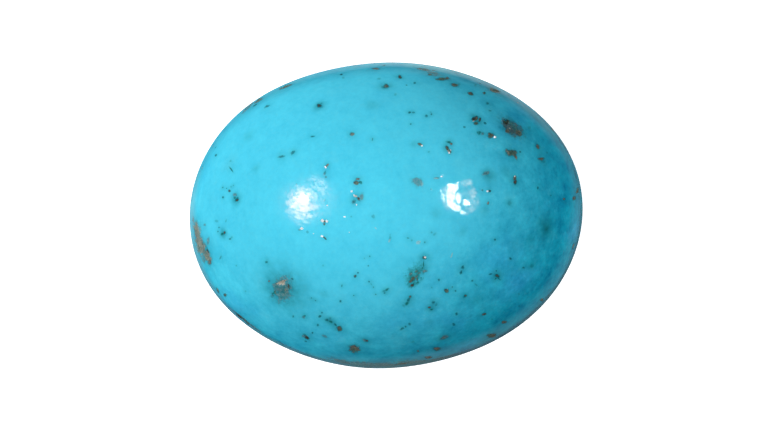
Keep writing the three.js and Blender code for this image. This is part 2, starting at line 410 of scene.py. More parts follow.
MARKS = [
    *marks(
        UMBER,
        (319.3, 105.9, 4.4, 0.9, 0, 2.2), (400, 77, 3.4, 0.9, 0, 1.2), (424.5, 69.3, 3, 0.6, -12),
        (475.2, 118.4, 6, 0.7, 20, 1.6), (479.6, 119.6, 4, 0.6, 70), (506.8, 122.4, 9, 0.75, -30),
        (447.2, 147.8, 4.4, 0.7, -60), (486.6, 173, 2.8, 0.7, 15), (514.9, 182.2, 5, 0.6, 85, 1.4),
        (324.5, 221.3, 2.6, 0.9), (358.6, 198.6, 4.6, 0.5, -50), (489.6, 190.9, 2.8, 0.8),
        (237, 200.2, 2.6, 0.7, 40), (224.4, 232.6, 2.4), (207.4, 251.2, 6, 0.4, -75, 0.5),
        (288.6, 286.4, 6.5, 0.4, 85), (242.4, 318.8, 24, 0.2, -39, 0.5), (306.2, 337.2, 7, 0.4, -40, 1.4),
        (366.6, 340.6, 3, 0.6, -25), (424.4, 257.8, 4, 0.8, 0, 2), (412.2, 285.2, 2.6, 0.8, 0, 0.5),
        (429.4, 307.4, 2.8, 0.8, 0, 1.5), (490, 335.4, 3, 0.7), (443.4, 338, 4, 0.5, 20),
        (497.4, 275.8, 4.4, 0.6, -20, 2.4),
    ),
    *marks(
        RUST,
        (386, 86, 5, 0.85, 0, 2.2), (375.7, 68.7, 6.5, 0.4, -3), (258.6, 100.3, 9, 0.45, 30),
        (285.4, 86.6, 13, 0.28, 20), (430, 74.5, 4, 0.5), (442, 78.9, 11, 0.24), (447.2, 78.2, 3),
        (454.8, 85, 7, 0.5, -10), (470.2, 93.5, 5.5, 0.6, -35), (484.2, 93, 3, 0.7),
        (494.6, 90.5, 11, 0.45, -18), (475.8, 123.2, 4, 0.7, 0, 1.4), (490.6, 135.6, 7, 0.8, 0, 1.2),
        (507.6, 130.8, 6, 0.7, -30), (517.8, 131.8, 11, 0.6, -45), (511.2, 152.8, 11.5, 0.62, -10),
        (515.6, 156.6, 6, 0.42, -62), (537.8, 146.6, 4.4, 0.8, -50, 1.4), (541.6, 158.7, 6, 0.45, 0, 1.4),
        (420.2, 144.4, 4.6, 0.5, -15), (451.2, 144, 2.4), (514.6, 178, 4.2, 0.8, 90, 1.4),
        (324.4, 224, 2.6, 0.7, 80), (324.8, 238, 3.6, 0.4, -45), (355.9, 182.8, 5, 0.7),
        (415.8, 180.6, 3, 0.5, 20, 0.5), (488, 203.3, 3, 0.75, 80), (574.2, 198.4, 4.5, 0.7, 80),
        (577.5, 190.6, 6, 0.5, 78), (564, 199, 2.2), (573.4, 246, 5.5, 0.4, 72), (229.4, 190.8, 2.4),
        (208.6, 260.6, 8, 0.5, -60), (269.2, 281, 2.2), (225.2, 295.1, 2.8), (217.6, 290.4, 6, 0.4, -62),
        (339.2, 328.8, 5.8, 0.8, 10, 1.4), (354.6, 349, 10, 0.8, -8, 1.4), (402, 364, 14, 0.25, 3),
        (355, 276.4, 2.8), (418.1, 351, 3, 0.7), (413.2, 278.6, 4.4, 0.7, 80, 0.5),
        (410.6, 281.4, 3.6, 0.7, 30, 0.5), (417.4, 279.6, 3, 0.6, 80, 0.5),
        (446.8, 290.8, 5, 0.7, -40, 1.4), (465.6, 295.6, 2.4, 0.8), (410.2, 296.6, 2.6),
        (484, 314.3, 4.6, 0.5, 15), (503.9, 322.3, 5.4, 0.5, 10), (492.1, 335.8, 8.5, 0.5, 5),
        (436.8, 349, 7, 0.55), (428.3, 357.6, 7, 0.35), (542, 300, 3.6, 0.7),
    ),
    *marks(
        TAN,
        (351.9, 134, 4.2, 0.8), (492, 88.5, 4, 0.6, -20), (491.4, 134.6, 2.4, 0.8),
        (508.8, 152.4, 5, 0.6, -10), (449.4, 151, 5.4, 0.6, -60), (327.2, 165.4, 4, 0.55, 45),
        (357.9, 179, 3.6, 0.7, -10), (196, 232, 22, 0.34, -82, 0.5), (199.4, 246, 26, 0.34, -72, 0.5),
        (206.6, 256.2, 15, 0.5, -72), (283, 290.2, 17, 0.74, 12, 0), (284.6, 281, 5, 0.6, 30, 0),
        (353, 348.6, 5, 0.6, -20),
    ),
    *marks(
        CREAM,
        (473.4, 120.8, 2.2, 0.5, 30, 0), (510, 128.6, 3, 0.25, -40, 0), (514.9, 176.8, 2.2, 0.8, 0, 0),
        (355.8, 196, 4.4, 0.6, -20, 0.5), (281.6, 283.6, 13, 0.62, 12, 0),
    ),
    *marks(
        DUST,
        (247.6, 107.6, 15, 0.35, 45), (426.1, 70, 8, 0.5, -12), (434, 73.5, 13, 0.35, -12),
        (482.6, 133.8, 3.6, 0.8, 20), (513.4, 124.8, 5, 0.6, -40), (486.1, 173.2, 7, 0.5, 15, 2.4),
        (326, 177.2, 2.4), (361.8, 196.6, 7, 0.5, 82), (417.4, 181.6, 12, 0.7, -30),
        (420.2, 183, 3.6, 0.5, -60, 0.5), (436.4, 178.1, 5, 0.45, 5), (234.4, 194.6, 3.8, 0.8, 0, 1.2),
        (204.6, 224.8, 2.6), (193.6, 220.6, 8, 0.4, -80), (197.6, 229, 8, 0.5, -80),
        (203, 258, 12, 0.3, -68), (208, 240.8, 8, 0.35, 85), (282.6, 289.4, 26, 0.76, 80, 2),
        (281, 297, 8, 0.8, -10, 0.3), (280.4, 296, 8, 0.6, 20, 0.5), (286.4, 297.6, 6, 0.5, 40),
        (252.6, 326.2, 20, 0.22, -36, 0.5), (235.6, 313, 14, 0.22, -42, 0.5),
        (303.3, 317.3, 3.4, 0.9, 0, 1.4), (303.6, 336, 3.4, 0.7), (324.7, 336.2, 6.5, 0.4, -20),
        (364.8, 340.2, 6, 0.5, -25, 2), (343.4, 362, 26, 0.26, -12), (362, 364.2, 34, 0.22, -4),
        (384, 365, 36, 0.2), (424.6, 271.2, 6, 0.42), (410.6, 274.2, 4, 0.7, 30, 0.5),
        (416, 271.6, 4, 0.6, 30, 0), (416.4, 276.6, 4.6, 0.5, 50, 0), (419.4, 273, 4, 0.6, 20, 0),
        (444.7, 337.3, 8.6, 0.4, 22, 3), (446, 357.4, 38, 0.22, 13), (414, 362.4, 36, 0.22, 5),
    ),
    *marks(
        CLAY,
        (512.4, 127.6, 25, 0.5, -40),
    ),
    *marks(
        PALE,
        (389.4, 240.6, 4, 0.4, 70), (418.2, 242.3, 5.6, 0.75, 15), (451.8, 255, 5, 0.4, 75),
        (376, 228.6, 3, 0.4, -50),
    ),
    *marks(
        TEAL,
        (341.4, 74.5, 3.6, 0.6), (414.7, 83, 3), (267, 106.3, 6, 0.4, 30), (372.5, 139.3, 3.2, 0.45, 80),
        (312.6, 136.5, 4.2, 0.4, 10), (292.9, 152.6, 6, 0.5, 45, 1.5), (281.7, 156.5, 7.5, 0.35, 10, 1.5),
        (215.8, 155.1, 2.8), (487.4, 103.5, 3.2), (490, 110.7, 4.6, 0.4, -10), (409.4, 112.7, 3.2, 0.8),
        (413.3, 112.4, 3, 0.6), (426.5, 116, 2.8), (431.3, 114.3, 2), (410.8, 124.1, 1.8),
        (519.9, 151.9, 2.2), (324.9, 172.8, 5, 0.55, 70, 1.4), (299.7, 229.8, 3, 0.7),
        (353.8, 201.5, 4.6, 0.8, 30, 1.4), (482.4, 190.4, 2.2), (538, 187.8, 3.2, 0.7, 80),
        (495, 239.5, 2.2), (551, 195.6, 1.6), (236.6, 199.4, 5.6, 0.65, 40, 2.4), (223.2, 197.2, 2.2),
        (222.8, 187.6, 1.6), (233.4, 185.4, 1.4), (226.6, 188.4, 1.2), (219, 227.5, 2.2), (218, 231.6, 1.6),
        (230, 239, 3.2, 0.6, 20), (220.4, 257.6, 4.5, 0.45, 75), (408, 238, 3, 0.5, -20),
        (424.8, 242.3, 1.8), (292.5, 279, 2.8, 0.7, -20), (276.8, 283.6, 2), (317.8, 325, 2.8),
        (319.6, 316.4, 3.6, 0.6, 30), (322, 312.6, 2.2), (326.6, 320, 5.4, 0.6, -10, 1.6),
        (335.4, 324.6, 5, 0.5, -50, 1.6), (312.5, 332.6, 2.2), (358, 272.6, 2),
        (341.9, 285.5, 3.2, 0.45, 80), (369.1, 281.7, 2.4), (373.4, 287, 2, 0.5, -50), (340.5, 301.3, 2.6),
        (353.8, 295.4, 1.6), (375.7, 294.4, 1.8), (384.4, 293, 2), (311.4, 297.9, 1.8),
        (315.5, 300.5, 2.4, 0.6, -20), (293.3, 316.6, 2.6), (369.8, 256.5, 1.4), (402, 328.8, 4.2, 0.6, 30),
        (405.6, 326.4, 2.4), (409.7, 323.9, 2.8), (438.8, 279.9, 2.6), (452.4, 287.1, 1.8),
        (455.5, 290.9, 1.8), (462.8, 267.4, 4.2, 0.75, 45, 1.4), (461.2, 272, 5, 0.5, 75),
        (464.7, 296.4, 4.4, 0.6, 40, 1.4), (472.4, 280.9, 2.4), (408.6, 299.6, 5, 0.6, 60, 1.4),
        (433.4, 302.4, 4, 0.8, 0, 3), (456.6, 313.9, 3), (453.6, 324.6, 3.2), (496.3, 270.9, 1.8),
        (490.6, 274.1, 4.6, 0.35, 10), (498.8, 278.6, 4.4, 0.4, -40), (495.6, 278.6, 3.6, 0.4, 40),
        (510.4, 258.6, 2.6), (523.6, 267.8, 3, 0.9, 0, 1.6),
    ),
    *marks(
        FAINT,
        (321.5, 103.5, 3, 0.7, 45), (383, 87.5, 5, 0.6, -30), (343.5, 77.6, 3), (379, 79, 4, 0.5),
        (395.4, 94.4, 3), (230.5, 161, 2.2), (459.4, 84.2, 3), (475.3, 85.4, 3.4), (430.8, 112.4, 1.6),
        (543.5, 161.5, 5, 0.6), (547, 152.6, 2.4), (428.8, 151.9, 2.2), (529.5, 127.7, 3.4),
        (296.6, 184.1, 1.6), (324.6, 200.2, 2), (351.2, 216.5, 1.8), (373.2, 216.5, 4), (431, 189.3, 1.8),
        (509.8, 203.2, 5, 0.8, 0, 3), (539, 184, 1.6), (546.2, 228.6, 6, 0.6, 60, 3), (231, 186.8, 1.8),
        (216.6, 221, 5, 0.5, 10), (231.8, 237.2, 1.8), (226, 221, 3.6, 0.4, 70), (435, 234, 4, 0.6, 40),
        (431.6, 232.4, 1.8), (411.4, 240.6, 2.4), (390, 237.5, 7, 0.4, 80), (272.6, 296.4, 5, 0.5, 60),
        (330.2, 318.2, 3), (371.4, 284.4, 3.4, 0.4, -50), (245.6, 291.2, 2), (323, 265.3, 2),
        (364.4, 258.4, 2), (236.4, 265.6, 1.6), (412.8, 341.8, 4.2, 0.5, 10), (431.7, 287.4, 2),
        (476.4, 285, 6, 0.3, -35), (403.4, 305.4, 3), (436, 305, 4, 0.6, 60, 1.5), (491.9, 319.2, 2.2),
        (519.4, 305.9, 2.6), (531.9, 266.1, 4.6, 0.8, 30, 4), (519, 294, 2),
    ),
    *marks(
        MOSS,
        (231.2, 169.4, 6.5, 0.26, -55, 0.6), (479, 132.4, 4.6, 0.9), (449, 142.4, 5.5, 0.5, -15),
        (360.6, 182.6, 4, 0.7, -60, 0.5), (234.8, 197.8, 3), (222.6, 233.8, 3.8, 0.9, 60, 2),
        (266.5, 262.2, 3.2, 0.9, 0, 1.4), (274.4, 292.6, 6, 0.5, 50), (304.6, 315.6, 2.4),
        (331, 321.8, 4.6, 0.6, -30, 1.6), (387.2, 289.4, 4.4, 0.6, 40), (384, 291.2, 3, 0.5, 10),
        (423.5, 264, 9.5, 0.14, 88), (422.4, 268.2, 3), (409.4, 277, 3, 0.7, 70, 0.5),
        (417.6, 282.6, 4, 0.6, 35, 0.6), (421, 277.6, 3.4, 0.6, 60, 0.6), (413.6, 283.6, 3, 0.6, 10, 0.4),
        (406.6, 303.4, 5.4, 0.6, 30, 1.4), (431.6, 309.4, 3.4, 0.6, 0, 1.5),
    ),
    *marks(
        LICHEN,
        (414.6, 275.6, 25, 0.62, 58),
    ),
    *marks(
        SMUDGE,
        (372.2, 104.6, 5), (248.8, 135.8, 4), (256, 168, 3), (413.8, 144.7, 3),
        (490, 177, 8, 0.6, -50, 1.6), (506.6, 171.8, 6), (532, 113.7, 5), (484.6, 210.1, 3.5),
        (436.4, 213, 4), (463, 231, 3), (545, 227.5, 10, 1, 0, 2.8), (283.4, 288.6, 22, 1, 0, 2.2),
        (324, 293.9, 3), (429, 322, 3.5), (530, 240, 4), (476, 300, 5), (515, 245, 5),
    ),
    # Painted glints: white grains where the lamps spark in the polish
    *marks(
        GLINT,
        (325.6, 167.3, 2.2), (327.3, 205.3, 2.2), (322.4, 220.6, 2.9), (326.7, 221.1, 2.5),
        (302.1, 228.5, 2.4), (322.2, 236.2, 2), (344.6, 216.8, 1.8), (351.7, 191.3, 1.8), (354.2, 195.2, 2),
        (421.8, 145.8, 1.8), (449.2, 152.8, 1.8), (450.6, 150.2, 1.2), (494.6, 137.3, 1.8), (425, 257.2, 2),
        (487.2, 191.2, 1.6), (441.5, 176.6, 2), (514.8, 176.2, 1.2), (356.6, 204.8, 1), (349.2, 232.4, 1),
        (313.6, 233.6, 1.1),
    ),
]


@dataclass(frozen=True)
class PlacedMark:
    """A mark set on the stone.

    Attributes:
        look: How it looks.
        middle: Its middle, in millimetres.
        along: From its middle to the end of its longer width, in millimetres.
        across: From its middle to the end of its shorter width, in millimetres.
        normal: The stone's normal at its middle.
        halo: How strongly the turquoise darkens round it.
    """

    look: MarkLook
    middle: Vector
    along: Vector
    across: Vector
    normal: Vector
    halo: float

    HEIGHT_WEIGHT = 5.0

    @property
    def half_width(self) -> float:
        """The mean of its half widths, in millimetres."""
        return (self.along.length + self.across.length) / 2

    @property
    def frame(self) -> np.ndarray:
        """What turns a step from its middle into shares of its half widths and a height."""
        return np.array(Matrix((self.along, self.across, self.normal)).transposed().inverted())

    def reach(self, points: np.ndarray) -> np.ndarray:
        """How far out in the mark points in millimetres lie, where 1 is its edge."""
        shares = (points - np.array(self.middle)) @ self.frame.T
        return np.linalg.norm(shares * (1, 1, self.HEIGHT_WEIGHT), axis=1)


class MatrixMap:
    """The stone's marks: those the photograph shows, and seeded ones on the sides and back."""

    HIDDEN_KINDS = [RUST, UMBER, TAN, TEAL, TEAL, TEAL, MOSS, SMUDGE]
    WALL_SHARE = 0.4
    WALL_HEIGHTS = (0.5, 1.7)
    BACK_REACH = 0.85
    HIDDEN_HALF_WIDTH = (-2.4, 0.5)
    HIDDEN_SLIM = (0.4, 1.0)
    SMALLEST_PIT = 0.07
    HALO_SPREAD = 1.7
    HALO_MARGIN = 0.07
    CRUMBS_IN_PITS = 9

    def __init__(self, form: StoneForm, camera: PhotoCamera, hidden_marks: int = 90, seed: int = 7) -> None:
        """Places every mark on the stone.

        Args:
            form: The stone's form.
            camera: The camera that sees the photograph's marks.
            hidden_marks: How many marks the sides and back get.
            seed: Where the random numbers start.
        """
        self.form = form
        self.camera = camera
        self.random = np.random.default_rng(seed)
        self.marks = [self.seen(mark) for mark in MARKS]
        self.marks += [self.hidden() for _ in range(hidden_marks)]

    def seen(self, mark: Mark) -> PlacedMark:
        """Places a mark that the photograph shows.

        Args:
            mark: The mark, in pixels.

        Returns:
            The mark on the stone.
        """
        middle, normal = self.camera.hit((mark.x, mark.y), self.form)
        look = mark.kind.value
        along = self.half_step(mark, normal, mark.turn, mark.width / 2)
        across = self.half_step(mark, normal, mark.turn + 90, mark.width * mark.slim / 2)
        return PlacedMark(look, middle, along, across, normal, look.halo * mark.halo)

    def half_step(self, mark: Mark, normal: Vector, turn: float, pixels: float) -> Vector:
        """The step on the stone that the camera sees as a step of some pixels.

        Args:
            mark: The mark whose middle the step starts from.
            normal: The stone's normal there.
            turn: The step's turn from level, in degrees.
            pixels: The step's length, in pixels.

        Returns:
            The step, in millimetres.
        """
        step_x, step_y = pixels * math.cos(math.radians(turn)), -pixels * math.sin(math.radians(turn))
        start, _ = self.camera.hit((mark.x - step_x, mark.y - step_y), self.form)
        end, _ = self.camera.hit((mark.x + step_x, mark.y + step_y), self.form)
        step = (end - start) / 2
        flat = step - normal * step.dot(normal)
        straight = pixels / self.camera.pixels_per_mm
        return flat.normalized() * min(max(flat.length, straight), 3 * straight)

    def hidden(self) -> PlacedMark:
        """Places one random mark low on the wall or on the back.

        Returns:
            The mark on the stone.
        """
        angle = self.random.uniform(0, 2 * math.pi)
        radius = float(self.form.girdle_radius(np.array(angle)))
        outward = Vector((math.cos(angle), math.sin(angle), 0.0))
        look = self.random.choice(self.HIDDEN_KINDS).value
        if self.random.random() < self.WALL_SHARE:
            height = self.random.uniform(*self.WALL_HEIGHTS)
            x, y, _ = outward * (radius - (height - self.form.girdle_height) / math.tan(self.form.wall_slope))
            middle, normal = Vector((x, y, height)), self.form.top_normal(x * 0.99, y * 0.99)
        else:
            middle = outward * radius * math.sqrt(self.random.uniform(0.0, self.BACK_REACH))
            normal = Vector((0, 0, -1))
        level = Vector(self.random.normal(size=3))
        flat = (level - normal * level.dot(normal)).normalized()
        along = flat * self.random.lognormal(*self.HIDDEN_HALF_WIDTH)
        across = normal.cross(along) * self.random.uniform(*self.HIDDEN_SLIM)
        return PlacedMark(look, middle, along, across, normal, look.halo)

    def dress(self, mesh: bpy.types.Mesh) -> None:
        """Writes where the marks lie on the stone's skin, and presses its pits in.

        Args:
            mesh: The stone's skin, in metres.
        """
        points = read(mesh.vertices, "co", 3) / MM
        for layer in (Layer.EARTH, Layer.TEAL):
            MarkField([mark for mark in self.marks if mark.look.layer is layer]).write(mesh, layer.value)
        halo, crumbs, sink = (np.zeros(len(points)) for _ in range(3))
        for mark in self.marks:
            reach = mark.reach(points)
            away = np.linalg.norm(points - np.array(mark.middle), axis=1)
            glow = np.exp(-((away / (mark.half_width * self.HALO_SPREAD + self.HALO_MARGIN)) ** 2))
            halo = 1 - (1 - halo) * (1 - min(mark.halo, 0.95) * glow)
            if mark.look.layer is Layer.EARTH and mark.half_width > self.SMALLEST_PIT:
                bowl = np.clip(1 - reach**2, 0, 1) ** 1.5
                sink = np.maximum(sink, 2 * mark.half_width * mark.look.pit * bowl)
                crumbs = np.maximum(crumbs, np.clip(1.1 - reach, 0, 1) * mark.look.pit * self.CRUMBS_IN_PITS)
        points = points - read(mesh.vertices, "normal", 3) * sink[:, None]
        mesh.vertices.foreach_set("co", (points * MM).ravel())
        write_numbers(mesh, "halo", halo)
        write_numbers(mesh, "crumbs", crumbs)
        mesh.update()


class MarkField:
    """For each face of a mesh, the nearest mark of one layer and where the face lies in it."""

    FAR = 9.0

    def __init__(self, field_marks: list[PlacedMark]) -> None:
        """Keeps the layer's marks."""
        self.marks = field_marks

    def nearest(self, middles: np.ndarray) -> tuple[np.ndarray, np.ndarray]:
        """The nearest mark to each face.

        Args:
            middles: The faces' middles, in millimetres.

        Returns:
            The marks' numbers, and how far out in them the faces are.
        """
        reach = np.full(len(middles), np.inf)
        number = np.zeros(len(middles), dtype=int)
        for index, mark in enumerate(self.marks):
            own = mark.reach(middles)
            nearer = own < reach
            reach[nearer] = own[nearer]
            number[nearer] = index
        return number, reach

    def write(self, mesh: bpy.types.Mesh, name: str) -> None:
        """Writes each face corner's place in its nearest mark, and the mark's tone and strength.

        Args:
            mesh: The mesh.
            name: What the attributes' names start with.
        """
        number, reach = self.nearest(read(mesh.polygons, "center", 3) / MM)
        totals = read(mesh.polygons, "loop_total")
        owner = np.repeat(number, totals)
        corners = (read(mesh.vertices, "co", 3) / MM)[read(mesh.loops, "vertex_index")]
        steps = corners - np.array([mark.middle for mark in self.marks])[owner]
        frames = np.array([mark.frame for mark in self.marks])[owner]
        place = np.einsum("cij,cj->ci", frames, steps)
        place[np.repeat(reach, totals) > self.FAR] = self.FAR
        attribute = mesh.attributes.new(f"{name}_place", "FLOAT_VECTOR", "CORNER")
        attribute.data.foreach_set("vector", place.astype(np.float32).ravel())
        tones = np.array([mark.look.tone for mark in self.marks])[number]
        write_numbers(mesh, f"{name}_tone", tones, "FACE")
        strengths = np.array([mark.look.strength for mark in self.marks])[number]
        write_numbers(mesh, f"{name}_strength", strengths, "FACE")


def read(items: bpy.types.bpy_prop_collection, name: str, width: int = 1) -> np.ndarray:
    """Reads one property of a mesh's parts.

    Args:
        items: The parts, such as its vertices.
        name: The property's name.
        width: How many numbers each part has.

    Returns:
        One row for each part, or one whole number where the property is a count or a point's number.
    """
    whole = name in ("loop_total", "vertex_index")
    flat = np.empty(len(items) * width, dtype=np.int32 if whole else np.float32)
    items.foreach_get(name, flat)
    return flat if whole else flat.reshape(-1, width).astype(float)


def write_numbers(mesh: bpy.types.Mesh, name: str, numbers: np.ndarray, domain: str = "POINT") -> None:
    """Writes one number for each point or face of a mesh."""
    attribute = mesh.attributes.new(name, "FLOAT", domain)
    attribute.data.foreach_set("value", numbers.astype(np.float32))


def put(name: str, data: bpy.types.ID) -> bpy.types.Object:
    """Adds an object to the scene.

    Args:
        name: Its name.
        data: Its mesh, lamp or camera.

    Returns:
        The object.
    """
    item = bpy.data.objects.new(name, data)
    bpy.context.scene.collection.objects.link(item)
    return item


class Paint(Graph):
    """A finish's node tree, with the patterns that the finishes share."""

    def __init__(self, name: str) -> None:
        """Starts a material with an empty tree.

        Args:
            name: The material's name.
        """
        self.material = bpy.data.materials.new(name)
        self.material.use_nodes = True
        super().__init__(self.material.node_tree)
        self.tree.nodes.clear()
        self.shader = self.add("ShaderNodeBsdfPrincipled")
        self.add("ShaderNodeOutputMaterial", {"Surface": Value(self, self.shader.outputs["BSDF"])})

    def set(self, **inputs: "Value | Colour | float") -> None:
        """Feeds or sets the shader's inputs, named with _ for each space."""
        self.fill(self.shader, {name.replace("_", " "): term for name, term in inputs.items()})

    @cached_property
    def place(self) -> Value:
        """The place on the piece, in millimetres."""
        return self.value("ShaderNodeTexCoord", output="Object").scaled(1 / MM)

    def number(self, name: str) -> Value:
        """A number that the mesh carries."""
        return self.value("ShaderNodeAttribute", output="Fac", attribute_name=name)

    def stretched(self, turn: float, stretch: Colour) -> Value:
        """The place turned about the upright axis by some degrees and stretched along each axis."""
        mapping = {"Vector": self.place, "Rotation": (0.0, 0.0, math.radians(turn)), "Scale": stretch}
        return self.value("ShaderNodeMapping", mapping)

    def distance(self, point: tuple[float, float, float]) -> Value:
        """How far each place is from a point, in millimetres."""
        return self.value("ShaderNodeVectorMath", {0: self.place, 1: point}, "Value", operation="DISTANCE")

    def tinted(self, colour: Value, amount: Value, lean: Colour) -> Value:
        """A colour made lighter or darker, more so in some of its parts than in others.

        Args:
            colour: The colour.
            amount: How much lighter, as a share. Below 0 it is darker.
            lean: How strongly each of red, green and blue follows.

        Returns:
            The new colour.
        """
        change = self.value("ShaderNodeVectorMath", {0: lean, "Scale": amount}, operation="SCALE")
        factor = self.value("ShaderNodeVectorMath", {0: change, 1: WHITE}, operation="ADD")
        return self.value("ShaderNodeVectorMath", {0: factor, 1: colour}, operation="MULTIPLY")

    def noise(
        self,
        scale: float,
        detail: float = 2.0,
        seed: float = 0.0,
        roughness: float = 0.5,
        at: "Value | None" = None,
    ) -> Value:
        """A cloudy pattern near 0.5, with scale clouds in a millimetre and detail finer layers."""
        inputs = {"Vector": at or self.place, "Scale": scale, "Detail": detail, "W": seed}
        return self.value("ShaderNodeTexNoise", {**inputs, "Roughness": roughness}, noise_dimensions="4D")

    def mixed(self, share: Value, first: "Value | Colour", second: "Value | Colour") -> Value:
        """A blend of two colours, with this share of the second."""
        return self.value("ShaderNodeMix", {0: share, 6: first, 7: second}, 2, data_type="RGBA")


@dataclass(frozen=True)
class TurquoiseFinish:
    """The colours and the polish of turquoise and its marks."""

    # light and deep are the two ends of the turquoise's zoning, which is partly its own colour and partly
    # painted shade
    light: Colour = (0.076, 0.650, 0.880)
    deep: Colour = (0.008, 0.435, 0.655)
    blue: Colour = (0.040, 0.470, 0.860)
    halo: Colour = (0.006, 0.200, 0.245)
    pale: Colour = (0.270, 0.640, 0.600)
    teal: Colour = (0.001, 0.070, 0.080)
    moss: Colour = (0.003, 0.125, 0.060)
    outline: Colour = (0.008, 0.052, 0.050)
    umber: Colour = (0.022, 0.020, 0.016)
    rust: Colour = (0.120, 0.095, 0.060)
    lichen: Colour = (0.060, 0.130, 0.085)
    tan: Colour = (0.300, 0.270, 0.195)
    cream: Colour = (0.560, 0.530, 0.450)
    # host and rock_vein colour the back's rock, which also stands in as painted shade under the stone
    host: Colour = (0.060, 0.046, 0.034)
    rock_vein: Colour = (0.010, 0.090, 0.110)
    lean: Colour = (2.0, 1.0, 0.68)
    # Where the turquoise is palest and best lit: the fall-off from here is partly painted shade
    palest_and_lit_at: tuple[float, float, float] = (-3.0, 3.0, 7.0)
    polish: float = 0.048
    worn: float = 0.055
    bump_depth: float = 0.004


class TurquoisePaint(Paint):
    """Polished turquoise with its marks."""

    def __init__(self, finish: TurquoiseFinish, worn_at: list[Vector]) -> None:
        """Makes the material.

        Args:
            finish: Its colours and polish.
            worn_at: The middles of the two scuffed parts of the polish, in millimetres, the more worn first.
        """
        super().__init__("polished_turquoise")
        self.finish = finish
        self.colour = self.ground()
        self.specks()
        # The host rock below is partly painted shade under the stone
        teal, earth, below = self.teal_marks(), self.earth_marks(), self.host_rock_and_shade()
        self.set(Base_Color=self.colour)
        self.surface(worn_at, (teal + earth + below).clamped())

    def lay(self, share: Value, colour: "Value | Colour") -> None:
        """Covers a share of the colour so far with another."""
        self.colour = self.mixed(share, self.colour, colour)

    def ground(self) -> Value:
        """The turquoise itself: zoned from sky blue to deep blue, and softly clouded. The zoning is partly
        the stone's own colour and partly painted shade, darker and deeper blue away from the upper left of
        the dome, where the key light falls.

        Returns:
            The colour.
        """
        look = self.finish
        drift = self.noise(0.16, 2.0, 3.0) - 0.5
        clouds = self.noise(0.55, 4.0, 1.0) - 0.5
        fine = self.noise(2.6, 3.0, 8.0) - 0.5
        # Partly painted shade: the turquoise grows darker, deeper blue and more blue-patched away from the
        # upper left of the dome, where the key light falls
        away = self.distance(look.palest_and_lit_at) + drift * 2.0 + clouds * 1.6 + fine * 0.4
        zone_and_shade = away.step(5.5, 12.5)
        colour = self.mixed(zone_and_shade, look.light, look.deep)
        patches = self.noise(0.42, 3.0, 12.0).step(0.45, 0.70) * (fine + 0.9) * (zone_and_shade * 0.60 + 0.06)
        colour = self.mixed(patches.clamped(), colour, look.blue)
        wisps = self.noise(0.8, 5.0, 5.0).step(0.56, 0.80)
        flecks = self.noise(6.0, 4.0, 19.0, 0.75).step(0.45, 0.80)
        colour = self.mixed(wisps * 0.08 + flecks * 0.10, colour, look.pale)
        texture = (self.noise(3.0, 6.0, 17.0, 0.8) - 0.5) * (zone_and_shade * 1.10 + 0.38)
        blotches = (self.noise(1.1, 3.0, 23.0, 0.6) - 0.5) * (zone_and_shade * 1.20 + 0.20)
        colour = self.tinted(colour, texture + blotches, look.lean)
        return self.mixed((self.number("halo") * (fine * 2.0 + 1.0)).clamped(), colour, look.halo)

    def specks(self) -> None:
        """Lays fine dark specks, a few in each square millimetre."""
        cells = self.add("ShaderNodeTexVoronoi", {"Vector": self.place, "Scale": 1.15})
        distance = Value(self, cells.outputs["Distance"])
        chance, size, tone = Value(self, cells.outputs["Color"]).split()
        ragged = self.noise(14.0, 2.0, 2.0) - 0.5
        inside = (distance + ragged * 0.05 - size * 0.05).step(0.055, 0.02)
        self.lay(inside * chance.step(0.72, 0.80) * (tone * 0.5 + 0.25), self.finish.teal)

    def mark_shape(self, layer: Layer, ragged: float) -> Value:
        """How far out in its mark each place is, with a ragged edge.

        Args:
            layer: The marks' layer.
            ragged: How far the edge wanders, as a share of the mark's half width.

        Returns:
            The distance, which is 1 at the edge.
        """
        spot = self.value("ShaderNodeAttribute", output="Vector", attribute_name=f"{layer.value}_place")
        along, across, _ = spot.split()
        out = (along * along + across * across).math("SQRT")
        coarse = self.noise(5.5, 1.0, 4.0) - 0.5
        fine = self.noise(16.0, 2.0, 6.0) - 0.5
        return out + coarse * ragged * 1.6 + fine * ragged

    def teal_marks(self) -> Value:
        """Lays the dark teal and green specks.

        Returns:
            How much of a place they roughen.
        """
        cover = self.mark_shape(Layer.TEAL, 0.9).step(1.25, 0.35) * self.number("teal_strength")
        colour = self.mixed(self.number("teal_tone"), self.finish.teal, self.finish.moss)
        thin = self.noise(9.0, 2.0, 9.0).step(0.25, 0.65) * 0.4 + 0.6
        self.lay(cover * thin, colour)
        return cover * 0.4

    def earth_marks(self) -> Value:
        """Lays the brown, tan and cream patches of matrix, with their thin dark outlines.

        Returns:
            How much of a place they cover.
        """
        look = self.finish
        distance = self.mark_shape(Layer.EARTH, 0.95)
        strength = self.number("earth_strength")
        cover = distance.step(1.08, 0.62) * strength
        fringe = distance.step(1.55, 0.65) * strength
        grain = self.noise(8.0, 4.0, 7.0, 0.7)
        tone = (self.number("earth_tone") + (grain - 0.5) * 2.0).clamped()
        brown = self.mixed(self.noise(3.0, 3.0, 15.0).step(0.40, 0.58), look.rust, look.lichen)
        dark = self.mixed(tone.step(0.0, 0.30), look.umber, brown)
        warm = self.mixed(tone.step(0.35, 0.80), dark, look.tan)
        colour = self.mixed(tone.step(0.75, 1.0), warm, look.cream)
        grit = self.noise(13.0, 2.0, 21.0).step(0.52, 0.62) * 0.75
        colour = self.mixed(grit * tone.step(1.0, 0.6), colour, look.outline)
        self.lay(fringe * (self.number("earth_tone") * -0.75 + 0.80), look.outline)
        self.lay(cover, colour)
        return cover

